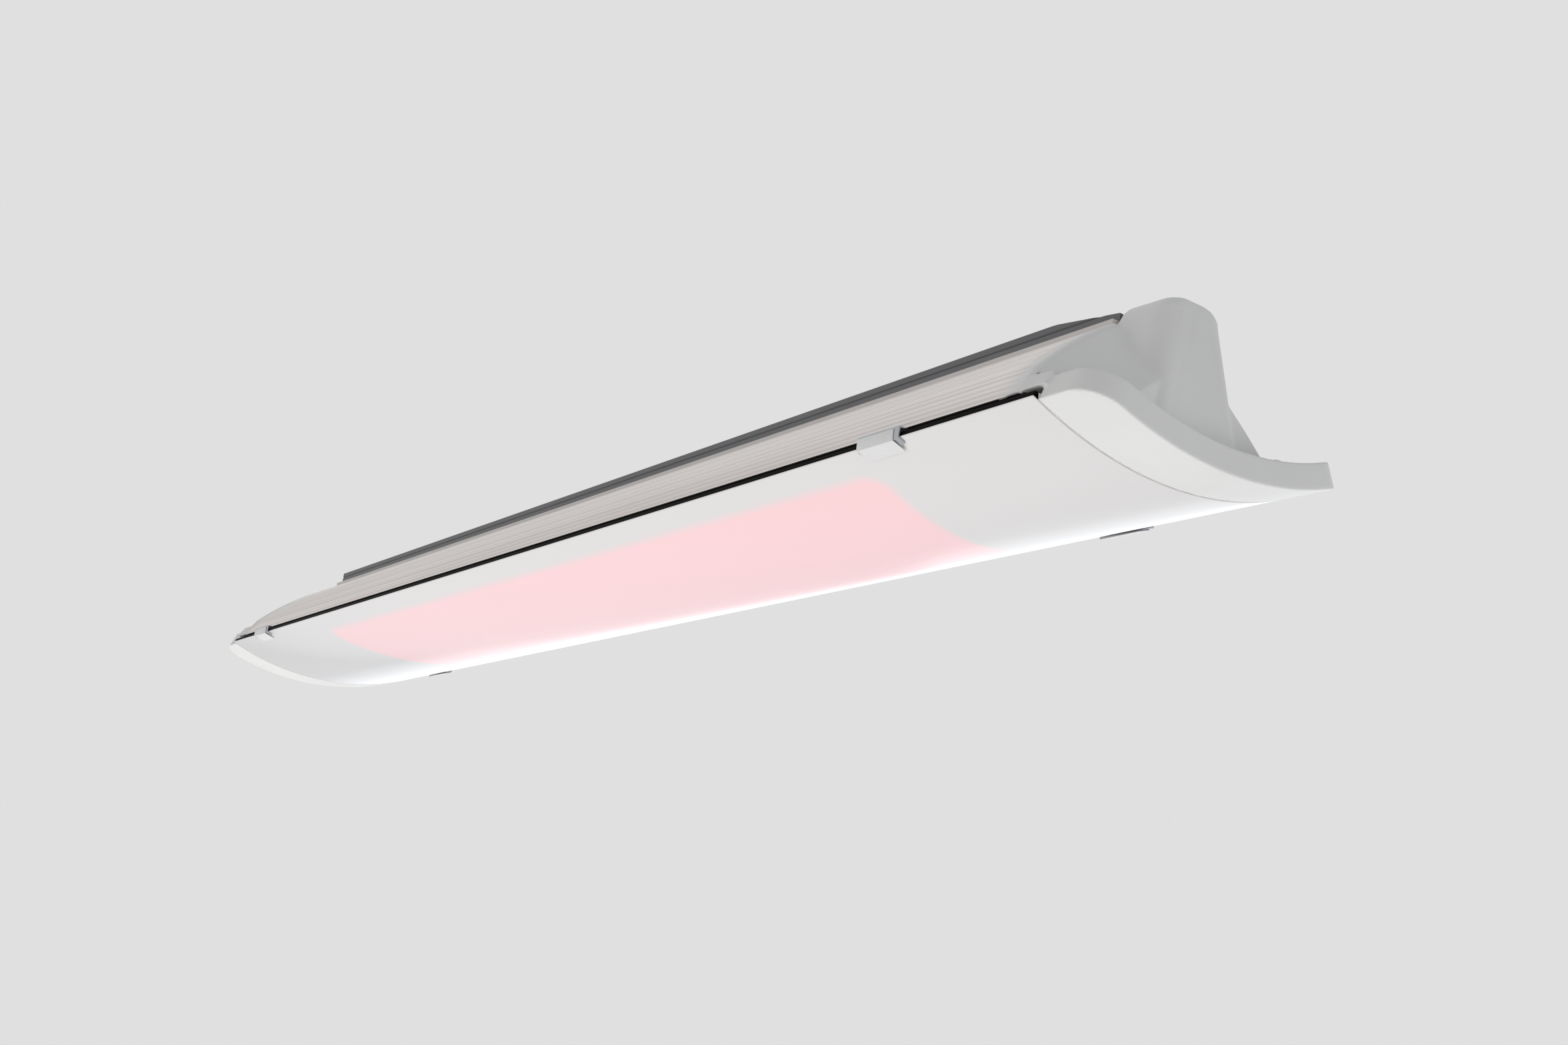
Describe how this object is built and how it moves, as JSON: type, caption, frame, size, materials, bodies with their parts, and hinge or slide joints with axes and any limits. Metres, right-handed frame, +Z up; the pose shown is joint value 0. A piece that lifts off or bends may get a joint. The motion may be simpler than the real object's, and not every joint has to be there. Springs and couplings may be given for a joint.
{
  "type": "radiant heater",
  "caption": "Long slim radiant heater: curved white glass face, ribbed housing, cast end caps with a cable hump, hung from a slotted rail.",
  "frame": {"origin": "centre of the mounting rail's top face", "axes": "+X along the heater towards its connection end, +Z up towards the ceiling, glass facing -Z"},
  "size_m": [1.2, 0.1944, 0.0979],
  "materials": {
    "white_glass": "white ceramic glass, satin with a soft sheen, warm glow of the tubes showing through",
    "cap_paint": "die-cast aluminium, light grey powder coat with fine texture",
    "anodised": "extruded and natural anodised, satin along the ribs",
    "rail_flange": "extruded, natural anodised",
    "rail_dark": "extruded aluminium, dark grey coat",
    "zinc": "zinc-plated steel",
    "clip_steel": "spring steel, heat-tinted grey-brown",
    "white_cover": "white enamelled cover, smooth",
    "silicone": "white heat-proof silicone",
    "dark_rubber": "black silicone rubber",
    "bright_aluminium": "polished aluminium sheet",
    "fibre_mat": "pressed ceramic fibre",
    "quartz": "clear quartz",
    "glowing_carbon": "carbon ribbon at heat",
    "steatite": "unglazed technical ceramic",
    "sheet_steel": "galvanised sheet",
    "terminal_brass": "bare brass",
    "lead_sleeve": "braided glass-fibre sleeve",
    "earth_sleeve": "braided glass-fibre sleeve"
  },
  "bodies": {
    "root": {"glass_panel": "white_glass", "near_end_cap": "cap_paint", "far_end_cap": "cap_paint", "rear_housing": "anodised", "rail_base": "rail_flange", "left_rail": "rail_dark", "right_rail": "rail_dark", "rail_nuts": "zinc", "rail_screws": "zinc", "near_left_clip": "clip_steel", "near_right_clip": "clip_steel", "far_left_clip": "clip_steel", "far_right_clip": "clip_steel", "clip_covers": "white_cover", "clip_screws": "zinc", "glass_pads": "silicone", "end_gaskets": "dark_rubber", "reflector": "bright_aluminium", "insulation_mats": "fibre_mat", "left_heating_tube": "quartz", "right_heating_tube": "quartz", "left_filament": "glowing_carbon", "right_filament": "glowing_carbon", "tube_ceramics": "steatite", "tube_retainers": "sheet_steel", "near_heat_shield": "sheet_steel", "far_heat_shield": "sheet_steel", "shield_screws": "zinc", "terminal_plate": "sheet_steel", "terminal_block": "steatite", "terminal_inserts": "terminal_brass", "terminal_screws": "zinc", "supply_leads": "lead_sleeve", "link_lead": "lead_sleeve", "earth_lead": "earth_sleeve", "earth_screw": "zinc", "cable_grommet": "dark_rubber", "cap_screws": "zinc"}
  },
  "joints": []
}
